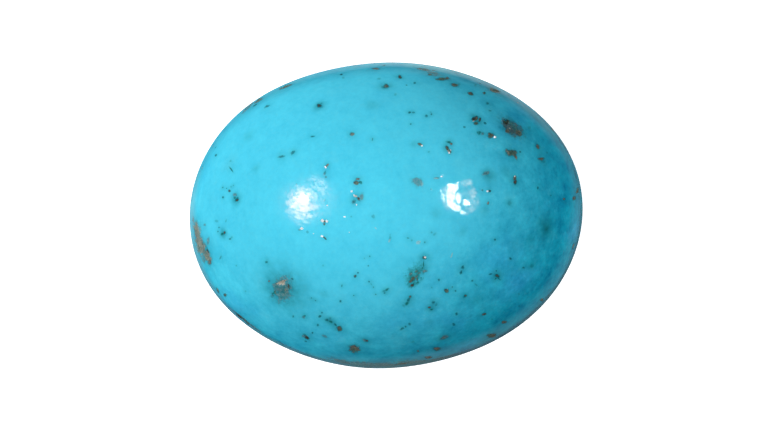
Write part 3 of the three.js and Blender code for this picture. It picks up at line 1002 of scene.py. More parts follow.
    def host_rock_and_shade(self) -> Value:
        """Lays the brown host rock that the stone's back and bevel were cut from. It is partly the rock's own
        colour and partly painted shade under the stone, where the lamps from below would light the bevel and
        back.

        Returns:
            How much of a place it covers.
        """
        ragged = self.noise(3.0, 3.0, 31.0) - 0.5
        # Painted shade in part: all of the stone below the girdle goes dark
        below = (self.place.split()[2] + ragged * 0.06).step(0.42, 0.34)
        grain = self.noise(5.0, 5.0, 33.0, 0.7).step(0.35, 0.65)
        rock = self.mixed(grain, self.finish.umber, self.finish.host)
        veins = self.noise(0.7, 4.0, 35.0, 0.6).step(0.56, 0.60)
        self.lay(below, self.mixed(veins, rock, self.finish.rock_vein))
        return below

    def surface(self, worn_at: list[Vector], marked: Value) -> None:
        """The polish: glossy, scuffed in places, and rough in the marks.

        Args:
            worn_at: The middles of the two scuffed parts, in millimetres, the more worn first.
            marked: How much of a place the marks roughen.
        """
        polish = self.finish.polish
        worn = self.distance(tuple(worn_at[0])).step(1.8, 0.2)
        scuffed = worn + self.distance(tuple(worn_at[1])).step(1.4, 0.3) * 0.8
        upright, leaning = (
            self.noise(2.4, 3.0, seed, 0.6, self.stretched(turn, (5.0, 0.6, 1.0)))
            for seed, turn in ((1.0, 4.0), (2.0, -48.0))
        )
        smooth = self.noise(1.4, 2.0, 5.0) * 0.04 + (polish - 0.02)
        scuffs = worn * (upright.step(0.40, 0.62) * 0.7 + leaning.step(0.42, 0.62) * 0.5)
        wall = self.place.split()[2].step(2.8, 1.4) * self.wall_lines()
        skin = self.noise(1.8, 3.0, 6.0) * 0.8 + self.noise(9.0, 2.0, 4.0) * 0.06 + wall
        scratch = (upright + leaning) * (scuffed * 0.035 + 0.01)
        grit = self.noise(14.0, 3.0, 3.0) * marked * 6.0
        bump = {"Height": skin + scratch + grit, "Distance": self.finish.bump_depth * MM, "Strength": 1.0}
        self.set(
            Roughness=smooth + scuffs * (self.finish.worn - polish) + marked * 0.35,
            Normal=self.value("ShaderNodeBump", bump),
            IOR=1.61,
            Coat_Weight=0.3,
            Coat_Roughness=0.05,
        )

    def wall_lines(self) -> Value:
        """The height of the faint level lines that grinding left on the stone's steep wall."""
        return self.noise(2.0, 2.0, 11.0, at=self.stretched(0.0, (0.25, 0.25, 4.0))) * 1.2


@dataclass(frozen=True)
class GrainFinish:
    """The finish of small grains set in the stone."""

    name: str
    dark: Colour
    light: Colour
    roughness: float
    scale: float

    def build(self) -> bpy.types.Material:
        """Makes the material.

        Returns:
            The material.
        """
        paint = Paint(self.name)
        grain = paint.noise(self.scale, 2.0, 1.0)
        colour = paint.mixed(grain.step(0.35, 0.65), self.dark, self.light)
        paint.set(Base_Color=colour, Roughness=grain * 0.2 + (self.roughness - 0.1))
        return paint.material


class Tree(Graph):
    """A Geometry Nodes tree with named inputs."""

    def __init__(self, name: str, takes_mesh: bool) -> None:
        """Starts an empty tree.

        Args:
            name: The tree's name.
            takes_mesh: Whether it reads the mesh of the object it is on.
        """
        super().__init__(bpy.data.node_groups.new(name, "GeometryNodeTree"))
        self.settings: dict[str, object] = {}
        for way in ("INPUT", "OUTPUT") if takes_mesh else ("OUTPUT",):
            self.tree.interface.new_socket("Geometry", in_out=way, socket_type="NodeSocketGeometry")
        self.inputs = self.add("NodeGroupInput")

    def ask(self, name: str, kind: str, setting: object) -> Value:
        """Adds a named input.

        Args:
            name: The input's name.
            kind: The end of its socket type, such as Float.
            setting: What the piece sets it to.

        Returns:
            The input, inside the tree.
        """
        item = self.tree.interface.new_socket(name, in_out="INPUT", socket_type=f"NodeSocket{kind}")
        self.settings[item.identifier] = setting
        return Value(self, self.inputs.outputs[name])

    def size(self, name: str, number: float) -> Value:
        """Adds a named number."""
        return self.ask(name, "Float", number)

    def random_vectors(self, **inputs: object) -> Value:
        """A random vector for each point."""
        return self.value("FunctionNodeRandomValue", inputs, "Value", data_type="FLOAT_VECTOR")

    def scattered(self, inputs: dict[str, Value], finish: bpy.types.Material) -> None:
        """Ends the tree with an instance on each point."""
        self.finish(self.value("GeometryNodeInstanceOnPoints", inputs), finish)

    def finish(self, geometry: Value, finish: bpy.types.Material) -> None:
        """Ends the tree with its instances realized and its material set.

        Args:
            geometry: What the tree has made.
            finish: The material of all of it.
        """
        real = self.value("GeometryNodeRealizeInstances", {"Geometry": geometry})
        dress = {"Geometry": real, "Material": self.ask("Finish", "Material", finish)}
        self.add("NodeGroupOutput", {"Geometry": self.value("GeometryNodeSetMaterial", dress)})

    def make(self, name: str, start: bpy.types.Mesh) -> bpy.types.Object:
        """Runs the tree on a mesh and keeps the result as a plain mesh.

        Args:
            name: The piece's name.
            start: The mesh that the tree is run on.

        Returns:
            The piece.
        """
        piece = put(name, start)
        modifier = piece.modifiers.new(self.tree.name, "NODES")
        modifier.node_group = self.tree
        for identifier, setting in self.settings.items():
            modifier[identifier] = setting
        graph = bpy.context.evaluated_depsgraph_get()
        result = bpy.data.meshes.new_from_object(piece.evaluated_get(graph), depsgraph=graph)
        piece.modifiers.clear()
        piece.data = result
        result.name = name
        return piece


@dataclass
class Cabochon:
    """The stone itself.

    Attributes:
        form: Its form.
        divisions: How many points lie along each side of the cube that it is drawn from.
        dome_reach: How much of that cube's round the dome takes, in degrees from its top.
        unevenness: How far hand lapping left the surface from its true form, in millimetres.
    """

    form: StoneForm
    divisions: int = 124
    dome_reach: float = 125.0
    unevenness: float = 0.012

    def __post_init__(self) -> None:
        """Starts the tree that draws it."""
        self.tree = Tree("cabochon_form", takes_mesh=False)

    def length(self, name: str) -> Value:
        """One of the form's lengths, as a named input of the tree."""
        return self.tree.size(name.replace("_", " ").capitalize(), getattr(self.form, name) * MM)

    def build(self, finish: bpy.types.Material) -> bpy.types.Object:
        """Draws the stone from a divided cube.

        Args:
            finish: Its material.

        Returns:
            The stone, as a plain mesh.
        """
        tree = self.tree
        divisions = tree.ask("Divisions", "Int", self.divisions)
        sides = {f"Vertices {axis}": divisions for axis in "XYZ"}
        cube = tree.value("GeometryNodeMeshCube", {"Size": (2.0, 2.0, 2.0), **sides})
        moved = tree.value("GeometryNodeSetPosition", {"Geometry": cube, "Position": self.skin()})
        tree.finish(tree.value("GeometryNodeSetShadeSmooth", {"Geometry": moved}), finish)
        return tree.make("turquoise_cabochon", bpy.data.meshes.new("seed"))

    def skin(self) -> Value:
        """Where each of the cube's points goes on the stone.

        Returns:
            The place.
        """
        tree = self.tree
        angle, latitude = self.directions()
        dome_reach = tree.size("Dome reach", math.radians(self.dome_reach))
        from_top = latitude / dome_reach
        from_back = (math.pi - latitude) / (math.pi - dome_reach)
        share = (from_top.math("MINIMUM", from_back) * (math.pi / 2)).math("SINE")
        radius = self.girdle(angle)
        inset = (1.0 - share) * radius
        girdle_height = self.length("girdle_height")
        top = self.top(share, inset, girdle_height)
        bevel = girdle_height - inset * tree.size("Bevel steepness", math.tan(self.form.bevel_slope))
        back = bevel.math("SMOOTH_MAX", 0.0, self.length("back_easing"))
        on_top = from_top.math("LESS_THAN", from_back)
        height = on_top * top + (1.0 - on_top) * back
        out = share * radius - self.rounding(height - girdle_height)
        lifted = height + self.lapping(on_top, share)
        return tree.joined(out * angle.math("COSINE"), out * angle.math("SINE"), lifted)

    def directions(self) -> tuple[Value, Value]:
        """The direction of each of the cube's points from its middle, evenly spread.

        Returns:
            The direction in plan, and the angle from the upright.
        """
        point = self.tree.value("GeometryNodeInputPosition")
        x, y, z = ((part * (math.pi / 4)).math("TANGENT") for part in point.split())
        return y.math("ARCTAN2", x), (x * x + y * y).math("SQRT").math("ARCTAN2", z)

    def girdle(self, angle: Value) -> Value:
        """The girdle's distance from the middle.

        Args:
            angle: The direction in plan.

        Returns:
            The distance.
        """
        half_length = self.length("length") * 0.5
        half_width = self.length("width") * 0.5
        level = half_width * angle.math("COSINE")
        upright = half_length * angle.math("SINE")
        share = 1.0
        for wave in self.form.waves:
            turned = angle * wave.turns
            for name in ("cosine", "sine"):
                part = self.tree.size(f"Wave {wave.turns} {name}", getattr(wave, name))
                share = share + part * turned.math(name.upper())
        return share * half_length * half_width / (level * level + upright * upright).math("SQRT")

    def top(self, share: Value, inset: Value, girdle_height: Value) -> Value:
        """The height of the wall and dome.

        Args:
            share: How far out to the girdle a point is.
            inset: Its distance in from the girdle.
            girdle_height: The girdle's height.

        Returns:
            The height.
        """
        height, drop = self.length("height"), self.length("dome_drop")
        reach = share * self.tree.size("Dome share", self.form.dome_share)
        dome = height - drop * (1.0 - (1.0 - reach * reach).math("SQRT"))
        wall = girdle_height + inset * self.tree.size("Wall steepness", math.tan(self.form.wall_slope))
        return dome.math("SMOOTH_MIN", wall, self.length("shoulder_easing"))

    def rounding(self, above: Value) -> Value:
        """How far the worn girdle lies inside its sharp line.

        Args:
            above: The point's height above the girdle.

        Returns:
            The distance.
        """
        easing = self.length("girdle_easing")
        opening = 1 / math.tan(self.form.wall_slope) + 1 / math.tan(self.form.bevel_slope)
        overlap = (easing - above.math("ABSOLUTE") * opening).math("MAXIMUM", 0.0) / easing
        return overlap * overlap * overlap * easing / 6.0

    def lapping(self, on_top: Value, share: Value) -> Value:
        """The slight unevenness that hand lapping left on the dome, which is nothing at the girdle.

        Args:
            on_top: Whether the point is on the wall or dome.
            share: How far out to the girdle it is.

        Returns:
            The change in height.
        """
        inputs = {"Scale": 1.5, "Detail": 1.0, "W": self.tree.size("Lapping seed", 4.0)}
        noise = self.tree.value("ShaderNodeTexNoise", inputs, noise_dimensions="4D")
        depth = self.tree.size("Unevenness", self.unevenness * MM)
        return (noise - 0.5) * depth * 2.0 * on_top * (1.0 - share * share)


@dataclass(frozen=True)
class BakeMap:
    """The stone's own map for its baked finish: the dome as one island and the back as a smaller one."""

    dome_middle: Pixel = (0.49, 0.43)
    dome_size: Pixel = (0.95, 0.83)
    back_middle: Pixel = (0.87, 0.915)
    back_size: Pixel = (0.22, 0.15)

    def write(self, mesh: bpy.types.Mesh, form: StoneForm) -> None:
        """Writes the map to the stone's mesh.

        Args:
            mesh: The stone's mesh.
            form: The stone's form.
        """
        x, y, _ = (read(mesh.vertices, "co", 3) / MM)[read(mesh.loops, "vertex_index")].T
        heights = np.repeat(read(mesh.polygons, "center", 3)[:, 2] / MM, read(mesh.polygons, "loop_total"))
        angle = np.arctan2(y, x)
        share = np.minimum(np.hypot(x, y) / form.girdle_radius(angle), 1.0)
        circle = np.stack([np.cos(angle), np.sin(angle)], axis=1) / 2
        flattened = np.arcsin(share) * 2 / math.pi
        dome = np.array(self.dome_middle) + circle * flattened[:, None] * self.dome_size
        back = np.array(self.back_middle) + circle * share[:, None] * self.back_size
        corners = np.where((heights > form.girdle_height)[:, None], dome, back)
        mesh.uv_layers.new(name="OFBake").data.foreach_set("uv", corners.astype(np.float32).ravel())


@dataclass
class MatrixCrumbs:
    """Crumbs of matrix that stand in the stone's pits.

    Attributes:
        spacing: The least room for one crumb, in millimetres.
        smallest: The smallest crumb's half width, in millimetres.
        largest: The largest crumb's half width, in millimetres.
        seed: Where the random numbers start.
    """

    spacing: float = 0.19
    smallest: float = 0.012
    largest: float = 0.032
    seed: int = 11

    def build(self, stone: bpy.types.Object, finish: bpy.types.Material) -> bpy.types.Object:
        """Scatters the crumbs over the stone's pits.

        Args:
            stone: The stone, with its marks written.
            finish: The crumbs' material.

        Returns:
            The crumbs, as a plain mesh.
        """
        tree = Tree("matrix_crumbs", takes_mesh=True)
        density = tree.size("Crumbs in a square metre", 1 / (self.spacing * MM) ** 2)
        where = tree.value("GeometryNodeInputNamedAttribute", {"Name": "crumbs"}, data_type="FLOAT")
        scatter = {
            "Mesh": Value(tree, tree.inputs.outputs["Geometry"]),
            "Density": density * where,
            "Seed": tree.ask("Seed", "Int", self.seed),
        }
        smallest = tree.size("Smallest crumb", self.smallest * MM)
        largest = tree.size("Largest crumb", self.largest * MM)
        instances = {
            "Points": tree.value("GeometryNodeDistributePointsOnFaces", scatter, distribute_method="RANDOM"),
            "Instance": self.crumb(tree),
            "Rotation": tree.random_vectors(Max=ANY_TURN),
            "Scale": tree.value("FunctionNodeRandomValue", {2: smallest, 3: largest}, 1, data_type="FLOAT"),
        }
        tree.scattered(instances, finish)
        return tree.make("matrix_crumbs", stone.data.copy())

    def crumb(self, tree: Tree) -> Value:
        """One crumb, a lump of half width 1.

        Args:
            tree: The tree.

        Returns:
            The crumb's mesh.
        """
        ball = tree.value("GeometryNodeMeshIcoSphere", {"Subdivisions": 2})
        swell = tree.value("ShaderNodeTexNoise", {"Scale": 1.3}) * 1.8 - 0.2
        lump = tree.value("GeometryNodeInputPosition").scaled(swell)
        return tree.value("GeometryNodeSetPosition", {"Geometry": ball, "Position": lump})


@dataclass
class WhiteGlintGrains:
    """Tiny clear-faced white grains, set where the lamps spark in the polish: their pure white is a painted
    glint.

    Attributes:
        sides: How many sides each grain has.
        seed: Where the random numbers start.
    """

    sides: int = 5
    seed: int = 3

    def build(self, glints: list[PlacedMark], finish: bpy.types.Material) -> bpy.types.Object:
        """Sets a grain at each glint, a little different in size along each of its axes.

        Args:
            glints: The glints, placed on the stone.
            finish: The grains' material.

        Returns:
            The grains, as a plain mesh.
        """
        points = bpy.data.meshes.new("glint_points")
        points.from_pydata([glint.middle * MM for glint in glints], [], [])
        write_numbers(points, "half_width", np.array([glint.half_width * MM for glint in glints]))
        tree = Tree("painted_glint_grains", takes_mesh=True)
        grain = {"Vertices": tree.ask("Sides", "Int", self.sides), "Radius": 0.9, "Depth": 1.5}
        half_width = tree.value("GeometryNodeInputNamedAttribute", {"Name": "half_width"}, data_type="FLOAT")
        uneven = tree.random_vectors(Min=(0.6, 0.6, 0.6), Max=(1.5, 1.5, 1.5), Seed=self.seed + 1)
        instances = {
            "Points": Value(tree, tree.inputs.outputs["Geometry"]),
            "Instance": tree.value("GeometryNodeMeshCylinder", grain),
            "Rotation": tree.random_vectors(Max=ANY_TURN, Seed=tree.ask("Seed", "Int", self.seed)),
            "Scale": uneven.scaled(half_width),
        }
        tree.scattered(instances, finish)
        return tree.make("painted_glint_grains", points)


def sheet(name: str, points: list[Vector], faces: Faces, paint: Paint) -> bpy.types.Object:
    """Adds an object made of plain faces.

    Args:
        name: Its name.
        points: Its points, in metres.
        faces: Its faces, as their points' numbers.
        paint: Its finish.

    Returns:
        The object.
    """
    mesh = bpy.data.meshes.new(name)
    mesh.from_pydata(points, [], faces)
    mesh.materials.append(paint.material)
    return put(name, mesh)


def ring_faces(rings: int, count: int, first: int = 0) -> Faces:
    """The faces between rings of points.

    Args:
        rings: How many rings there are.
        count: How many points each ring has.
        first: The number of the innermost ring's first point.

    Returns:
        The faces, as their points' numbers.
    """
    faces = []
    for inner in range(first, first + (rings - 1) * count, count):
        for spoke in range(count):
            after = (spoke + 1) % count
            faces.append((inner + spoke, inner + count + spoke, inner + count + after, inner + after))
    return faces


def glow_paint(name: str, radiance: float, colour: Colour = WHITE) -> Paint:
    """A finish that only glows.

    Args:
        name: Its name.
        radiance: How bright it is, where 1 is paper white.
        colour: Its colour.

    Returns:
        The finish.
    """
    paint = Paint(name)
    paint.set(Base_Color=BLACK, Roughness=1.0, Specular_IOR_Level=0.0)
    paint.set(Emission_Color=colour, Emission_Strength=radiance)
    return paint


def hide(item: bpy.types.Object, *sights: str) -> None:
    """Hides an object from some kinds of light path."""
    for sight in sights:
        setattr(item, f"visible_{sight}", False)


def seen_in_polish_only(panel: bpy.types.Object) -> None:
    """Hides a panel from everything but the stone's polish."""
    hide(panel, "camera", "diffuse", "transmission", "shadow")


@dataclass(frozen=True)
class MirrorPanel:
    """A glowing panel that shows in the polish as an outline of pixels.

    Attributes:
        name: The panel's name.
        outline: The corners of its mirror image, in the photograph's pixels.
        radiance: How bright its face is, where 1 is paper white.
        scratches: How strongly streaks drawn in its own glow break up its mirror image; they are painted
            highlight streaks standing in for scratches in the polish.
        distance: Its distance from the stone, in millimetres.
    """

    name: str
    outline: tuple[Pixel, ...]
    radiance: float
    scratches: float = 0.0
    distance: float = 300.0

    def corner(self, pixel: Pixel, form: StoneForm, camera: PhotoCamera) -> Vector:
        """Where a corner must be for its mirror image to fall on a pixel.

        Args:
            pixel: The pixel.
            form: The stone's form.
            camera: The camera.

        Returns:
            The corner's place, in metres.
        """
        point, normal = camera.hit(pixel, form)
        to_camera = (camera.place - point).normalized()
        to_panel = normal * 2 * normal.dot(to_camera) - to_camera
        return (point + to_panel.normalized() * self.distance) * MM

    def build(self, form: StoneForm, camera: PhotoCamera) -> None:
        """Adds the panel where it mirrors into the camera.

        Args:
            form: The stone's form.
            camera: The camera.
        """
        pixels, faces = self.grid()
        corners = [self.corner(pixel, form, camera) for pixel in pixels]
        panel = sheet(self.name, corners, faces, self.paint())
        for axis, name in enumerate(("seen_x", "seen_y")):
            write_numbers(panel.data, name, np.array([pixel[axis] for pixel in pixels]))
        self.mark(panel.data)
        seen_in_polish_only(panel)

    def grid(self) -> tuple[list[Pixel], Faces]:
        """The points of its mirror image in pixels, and its faces as their numbers."""
        return list(self.outline), tessellate_polygon([[Vector((*pixel, 0.0)) for pixel in self.outline]])

    def mark(self, mesh: bpy.types.Mesh) -> None:
        """Writes what else the panel's finish reads, which is nothing for a plain panel."""

    def paint(self) -> Paint:
        """Its finish.

        Returns:
            The finish.
        """
        paint = glow_paint(self.name, self.radiance)
        if self.scratches:
            paint.set(Emission_Strength=self.streaks(paint) * self.radiance)
        return paint

    def streaks(self, paint: Paint) -> Value:
        """How much of the light is left between the streaks drawn in the glow, painted highlight streaks that
        stand in for scratches in the polish.

        Args:
            paint: The finish.

        Returns:
            The share, which is about 1 in the middle of its range.
        """
        x, y = paint.number("seen_x"), paint.number("seen_y")
        middle = min(WORN_AT, key=lambda spot: math.dist(spot, self.outline[0]))
        away_x, away_y = x - middle[0], y - middle[1]
        out = (away_x * away_x + away_y * away_y).math("SQRT")
        arcs = paint.noise(1.0, 0.0, 8.0, at=paint.joined(out * 0.95, x * 0.22, y * 0.22))
        upright = paint.noise(1.0, 0.0, 1.0, at=paint.joined(x + y * 0.10, y * 0.24))
        return ((arcs + upright - 1.0) * (self.scratches * 6.0) + 1.0).math("MAXIMUM", 0.0)


@dataclass(frozen=True)
class MirrorGlow(MirrorPanel):
    """A panel whose light fades from its middle to its outline, and which lets what is behind it through."""

    colour: Colour = (1.0, 0.62, 0.46)
    rings: int = 14
    fading: float = 2.6

    def grid(self) -> tuple[list[Pixel], Faces]:
        """The points and faces of its mirror image, in rings from its middle.

        Returns:
            The points, in pixels, and the faces, as their numbers.
        """
        count = len(self.outline)
        middle = np.array([sum(part) / count for part in zip(*self.outline)])
        steps = np.array(self.outline) - middle
        pixels = [tuple(middle), *(tuple(middle + step * share) for share in self.shares() for step in steps)]
        faces = [(0, 1 + spoke, 1 + (spoke + 1) % count) for spoke in range(count)]
        return pixels, faces + ring_faces(self.rings, count, 1)

    def shares(self) -> np.ndarray:
        """How far out each ring is."""
        return np.arange(1, self.rings + 1) / self.rings

    def mark(self, mesh: bpy.types.Mesh) -> None:
        """Writes how far out each point is."""
        write_numbers(mesh, "out", np.concatenate([[0.0], np.repeat(self.shares(), len(self.outline))]))

    def paint(self) -> Paint:
        """Its finish.

        Returns:
            The finish.
        """
        paint = glow_paint(self.name, self.radiance, self.colour)
        out = paint.number("out")
        left = (1.0 - out * out).math("POWER", self.fading)
        paint.set(Alpha=(left * self.streaks(paint)).clamped())
        return paint


def blob(x: float, y: float, width: float, slim: float = 1.0, turn: float = 0.0) -> tuple[Pixel, ...]:
    """An oval outline for a mirrored panel.

    Args:
        x: Its middle, in pixels from the left.
        y: Its middle, in pixels from the top.
        width: Its longer width, in pixels.
        slim: Its shorter width as a share of the longer one.
        turn: The longer width's turn from level, in degrees.

    Returns:
        The outline's corners.
    """
    lean = math.radians(turn)
    corners = []
    for step in range(BLOB_CORNERS):
        along = width / 2 * math.cos(math.tau * step / BLOB_CORNERS)
        across = width / 2 * slim * math.sin(math.tau * step / BLOB_CORNERS)
        right = along * math.cos(lean) + across * math.sin(lean)
        down = across * math.cos(lean) - along * math.sin(lean)
        corners.append((x + right, y + down))
    return tuple(corners)


WORN_AT = ((302.0, 203.0), (464.0, 197.0))
# Where much of the lamp's light is scattered it whitens the turquoise, so it is warmer than the thin haze
SCATTERED: Colour = (1.0, 0.46, 0.28)

LEFT_LAMP = (
    MirrorPanel(
        "left_core",
        (
            (300.4, 192.2), (302.4, 192.6), (304.0, 195.0), (306.4, 195.4), (308.4, 197.4), (308.2, 200.6),
            (306.2, 203.4), (303.0, 204.0), (299.4, 202.4), (297.4, 200.2), (299.4, 196.6),
        ),
        20.0,
        0.10,
    ),
    MirrorPanel("left_core_top", blob(307.4, 193.6, 3.0, 0.8, 20.0), 15.0),
    MirrorPanel("left_core_foot", blob(294.8, 206.4, 5.6, 0.7, -30.0), 12.0, 0.2),
    MirrorGlow("left_bloom", blob(301.4, 202.4, 26.0, 0.94, 55.0), 15.0, 0.4, 304.0, SCATTERED),
    MirrorGlow("left_glow", blob(301.8, 203.0, 46.0, 0.90, 70.0), 14.5, 0.9, 305.0, SCATTERED),
    MirrorGlow("left_plume", blob(302.0, 212.0, 38.0, 0.72, -84.0), 6.0, 1.8, 308.0),
    MirrorGlow("left_haze", blob(319.0, 186.0, 34.0, 0.62, -50.0), 5.0, 1.8, 310.0),
    MirrorGlow("left_veil", blob(308.0, 201.0, 80.0, 0.80, 10.0), 2.4, 1.8, 312.0),
)
RIGHT_LAMP = (
    MirrorPanel(
        "right_crescent",
        (
            (457.4, 182.0), (458.8, 182.4), (458.4, 187.0), (457.4, 190.2), (455.2, 193.6), (454.4, 198.4),
            (454.4, 202.4), (455.8, 205.2), (460.2, 206.0), (460.4, 208.4), (459.8, 211.6), (455.8, 211.6),
            (452.4, 210.2), (449.2, 206.8), (446.6, 202.6), (446.4, 196.4), (447.2, 190.0), (448.0, 184.6),
            (450.4, 183.6), (453.6, 184.2), (456.0, 184.6),
        ),
        15.0,
        0.35,
    ),
    MirrorPanel(
        "right_drop",
        (
            (458.4, 192.4), (459.8, 194.8), (460.6, 198.4), (460.8, 203.2), (457.8, 203.6), (456.2, 201.4),
            (456.2, 197.4), (457.0, 194.0),
        ),
        17.0,
    ),
    MirrorPanel(
        "right_pane",
        ((463.4, 199.8), (465.6, 200.0), (469.8, 202.0), (470.6, 204.4), (468.4, 205.4), (463.6, 205.0)),
        20.0,
    ),
    MirrorPanel("right_foot", blob(462.8, 212.4, 4.0, 0.7, -25.0), 14.0, 0.5),
    MirrorGlow("right_fuzz", blob(450.0, 198.0, 36.0, 0.6, -75.0), 7.0, 1.8, 305.0),
    MirrorGlow("right_top_arc", blob(466.4, 183.6, 17.0, 0.5, 12.0), 5.0, 1.8, 306.0),
    MirrorGlow("right_side_arc", blob(474.0, 197.0, 30.0, 0.3, -76.0), 5.0, 1.8, 307.0),
    MirrorGlow("right_low_arc", blob(469.0, 210.0, 20.0, 0.5, 30.0), 4.5, 1.8, 308.0),
    MirrorGlow("right_haze", blob(466.0, 199.0, 40.0, 0.82, -75.0), 1.8, 1.8, 310.0),
    MirrorPanel("right_outer_arc", ((439.8, 190.4), (441.4, 190), (443.6, 198.4), (442.2, 200.4)), 6.0, 1.2),
    MirrorPanel("right_outer_spot", blob(442.8, 199.0, 2.6), 20.0),
    MirrorPanel("right_far_spot", blob(441.6, 176.8, 3.4, 0.8, 60.0), 2.2),
)


@dataclass(frozen=True)
class Station:
    """How bright the white card is in one direction, where 1 is paper white: painted light and shade, lit
    above and shadowed to the right and below.

    Attributes:
        azimuth: The direction, in degrees from +X towards +Y.
        near: How bright it is beside the stone's girdle.
        near_reach: How far out that light fades away, in millimetres.
        far: How bright it is further out.
        far_reach: How far out that light ends, in millimetres.
    """

    azimuth: float
    near: float
    near_reach: float
    far: float
    far_reach: float


@dataclass(frozen=True)
class ReflectedCard:
    """The card that the stone lies on, as the steep wall mirrors it. Its glow is painted light and shade:
    bright on the upper side, dark on the right and lower sides where the stone's shadow falls.
    """

    height: float = 0.004
    tuck: float = 0.5
    beside: float = 0.25
    edge_softness: float = 0.45
    spokes: int = 240
    rings: int = 64
    colour: Colour = (0.92, 1.0, 0.87)
    stations: tuple[Station, ...] = (
        Station(-180, 0.30, 1.6, 0.05, 2.4),
        Station(-165, 0.20, 1.0, 0.03, 2.0),
        Station(-150, 0.12, 0.8, 0.0, 2.0),
        Station(-134, 0.12, 0.5, 0.0, 2.0),
        Station(-119, 0.08, 1.4, 0.0, 2.5),
        Station(-104, 0.08, 1.4, 0.11, 4.0),
        Station(-89, 0.08, 1.0, 0.15, 3.9),
        Station(-75, 0.07, 1.0, 0.14, 4.6),
        Station(-60, 0.05, 1.0, 0.12, 5.2),
        Station(-45, 0.03, 1.0, 0.11, 4.8),
        Station(-30, 0.05, 1.0, 0.11, 4.6),
        Station(-15, 0.05, 1.0, 0.12, 4.8),
        Station(0, 0.05, 1.0, 0.15, 4.4),
        Station(15, 0.06, 1.0, 0.09, 3.0),
        Station(30, 0.15, 1.2, 0.15, 3.2),
        Station(45, 0.42, 0.75, 0.09, 3.2),
        Station(60, 0.72, 0.62, 0.03, 2.2),
        Station(75, 0.90, 0.60, 0.11, 2.4),
        Station(90, 0.95, 0.50, 0.02, 2.0),
        Station(105, 0.50, 0.58, 0.0, 2.0),
        Station(120, 0.45, 0.48, 0.0, 2.0),
        Station(135, 0.25, 0.45, 0.0, 2.0),
        Station(150, 0.12, 0.40, 0.0, 2.0),
        Station(165, 0.20, 0.40, 0.0, 2.0),
        Station(180, 0.30, 1.6, 0.05, 2.4),
    )

    def build(self, form: StoneForm) -> None:
        """Lays the card round the stone.

        Args:
            form: The stone's form.
        """
        angles = np.linspace(-180, 180, self.spokes, endpoint=False)
        turns = [station.azimuth for station in self.stations]
        near, near_reach, far, far_reach = (
            np.interp(angles, turns, [getattr(station, name) for station in self.stations])
            for name in ("near", "near_reach", "far", "far_reach")
        )
        outward = np.stack([np.cos(np.radians(angles)), np.sin(np.radians(angles))], axis=1)
        girdle = form.girdle_radius(np.radians(angles))
        points, glow = [], []
        for ring in range(self.rings + 1):
            out = (ring / self.rings) ** 2 * (self.tuck + far_reach) - self.tuck
            points += [(x * MM, y * MM, self.height * MM) for x, y in outward * (girdle + out)[:, None]]
            beside = near * np.clip(1 - np.maximum(out, self.beside) / near_reach, 0, 1)
            beyond = far * np.clip(out, 0, 1) * np.clip((1 - out / far_reach) / self.edge_softness, 0, 1)
            glow += list(beside + beyond)
        # Painted light and shade: the card's glow follows the stations, not the lamps
        paint = glow_paint("card_painted_light_and_shade", 1.0, self.colour)
        paint.set(Emission_Strength=paint.number("glow"))
        card = sheet("reflected_card", points, ring_faces(self.rings + 1, self.spokes), paint)
        write_numbers(card.data, "glow", np.array(glow))
        seen_in_polish_only(card)


@dataclass(frozen=True)
class SoftLamp:
    """A soft box, or the card's bounce from below, that lights the stone but doesn't show in its polish.

    Attributes:
        name: The lamp's name.
        azimuth: Its direction, in degrees from +X towards +Y.
        elevation: Its height above the floor, in degrees.
        level: How bright it makes white paper that faces it.
        width: Its width, in millimetres.
        distance: Its distance, in millimetres.
    """

    name: str
    azimuth: float
    elevation: float
    level: float
    width: float = 220.0
    distance: float = 300.0

    def build(self) -> None:
        """Adds the lamp."""
        azimuth, elevation = math.radians(self.azimuth), math.radians(self.elevation)
        flat = math.cos(elevation)
        towards = Vector((flat * math.cos(azimuth), flat * math.sin(azimuth), math.sin(elevation)))
        data = bpy.data.lights.new(self.name, "AREA")
        data.shape = "SQUARE"
        data.size = self.width * MM
        data.energy = self.level * (math.pi * self.distance * MM) ** 2
        lamp = put(self.name, data)
        lamp.location = towards * self.distance * MM
        lamp.rotation_euler = (-towards).to_track_quat("-Z", "Y").to_euler()
        hide(lamp, "glossy")


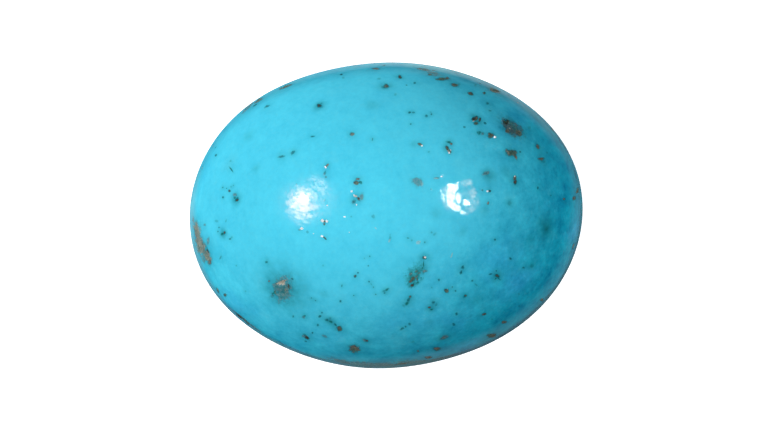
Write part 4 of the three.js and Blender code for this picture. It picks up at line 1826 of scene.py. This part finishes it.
@dataclass(frozen=True)
class Studio:
    """The floor, the lamps and the surroundings."""

    floor_radius: float = 2000.0
    floor_gap: float = 0.01
    floor_colour: Colour = (0.9, 0.9, 0.9)
    floor_glow: float = 0.85
    panels: tuple[MirrorPanel, ...] = LEFT_LAMP + RIGHT_LAMP
    card: ReflectedCard = ReflectedCard()
    soft_lamps: tuple[SoftLamp, ...] = (
        SoftLamp("left_softbox", 150, 25, 0.444),
        SoftLamp("left_high_softbox", 180, 67, 0.70),
        SoftLamp("right_high_softbox", 0, 67, 0.286),
        SoftLamp("far_right_softbox", 30, 45, 0.11),
        SoftLamp("near_left_card_bounce", 210, -45, 1.55),
        SoftLamp("front_left_card_bounce", 240, -30, 0.24),
        SoftLamp("front_right_card_bounce", 300, -45, 0.18),
        SoftLamp("left_card_bounce", 150, -45, 0.50),
        SoftLamp("far_left_card_bounce", 120, -45, 1.0),
        SoftLamp("right_card_bounce", 0, -45, 1.32),
    )

    def build(self, form: StoneForm, camera: PhotoCamera) -> None:
        """Sets up the studio.

        Args:
            form: The stone's form.
            camera: The camera.
        """
        for panel in self.panels:
            panel.build(form, camera)
        for soft_lamp in self.soft_lamps:
            soft_lamp.build()
        self.card.build(form)
        self.floor()
        self.surroundings()

    def floor(self) -> None:
        """Lays the pale floor, which is clear from below."""
        paint = Paint("pale_floor")
        paint.set(Base_Color=self.floor_colour, Roughness=0.9, Specular_IOR_Level=0.0)
        paint.set(Emission_Color=WHITE, Emission_Strength=self.floor_glow)
        paint.set(Alpha=1.0 - paint.value("ShaderNodeNewGeometry", output="Backfacing"))
        half, low = self.floor_radius * MM, -self.floor_gap * MM
        corners = [Vector((x * half, y * half, low)) for x, y in ((-1, -1), (1, -1), (1, 1), (-1, 1))]
        floor = sheet("floor", corners, [(0, 1, 2, 3)], paint)
        hide(floor, "glossy", "diffuse", "shadow")

    def surroundings(self) -> None:
        """Makes the surroundings pale to the eye, and dark in the stone's polish."""
        world = bpy.data.worlds.new("pale_room")
        world.use_nodes = True
        room = Graph(world.node_tree)
        seen = room.value("ShaderNodeLightPath", output="Is Camera Ray")
        room.fill(world.node_tree.nodes["Background"], {"Color": WHITE, "Strength": seen})
        world.cycles_visibility.glossy = False
        bpy.context.scene.world = world
        bpy.context.scene.view_settings.view_transform = "Standard"


def keep(piece: bpy.types.Object) -> None:
    """Fastens a finished piece to the stone's body and reports it.

    Args:
        piece: The piece.
    """
    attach(piece, BODY)
    LOG.info("%s: %d faces", piece.name, len(piece.data.polygons))


def main() -> None:
    """Builds the stone, its grains and the studio."""
    logging.basicConfig(level=logging.INFO)
    form = StoneForm()
    camera = PhotoCamera()
    camera.build()
    matrix = MatrixMap(form, camera)
    polished = TurquoisePaint(TurquoiseFinish(), [camera.hit(pixel, form)[0] for pixel in WORN_AT])
    stone = Cabochon(form).build(polished.material)
    matrix.dress(stone.data)
    BakeMap().write(stone.data, form)
    crumb_finish = GrainFinish("matrix_crumb", (0.07, 0.045, 0.03), (0.46, 0.38, 0.29), 0.6, 18.0)
    crumbs = MatrixCrumbs().build(stone, crumb_finish.build())
    glint_marks = [mark for mark in matrix.marks if mark.look.layer is Layer.GLINT]
    # Painted glints: near pure white, standing in for the lamps' sparks
    painted_glint_finish = GrainFinish("painted_glint_white", (0.93, 0.93, 0.94), (0.98, 0.98, 0.98), 0.15, 20.0)
    glints = WhiteGlintGrains().build(glint_marks, painted_glint_finish.build())
    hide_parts(NODE)
    for piece in (stone, crumbs, glints):
        keep(piece)
    Studio().build(form, camera)


if __name__ == "__main__":
    main()
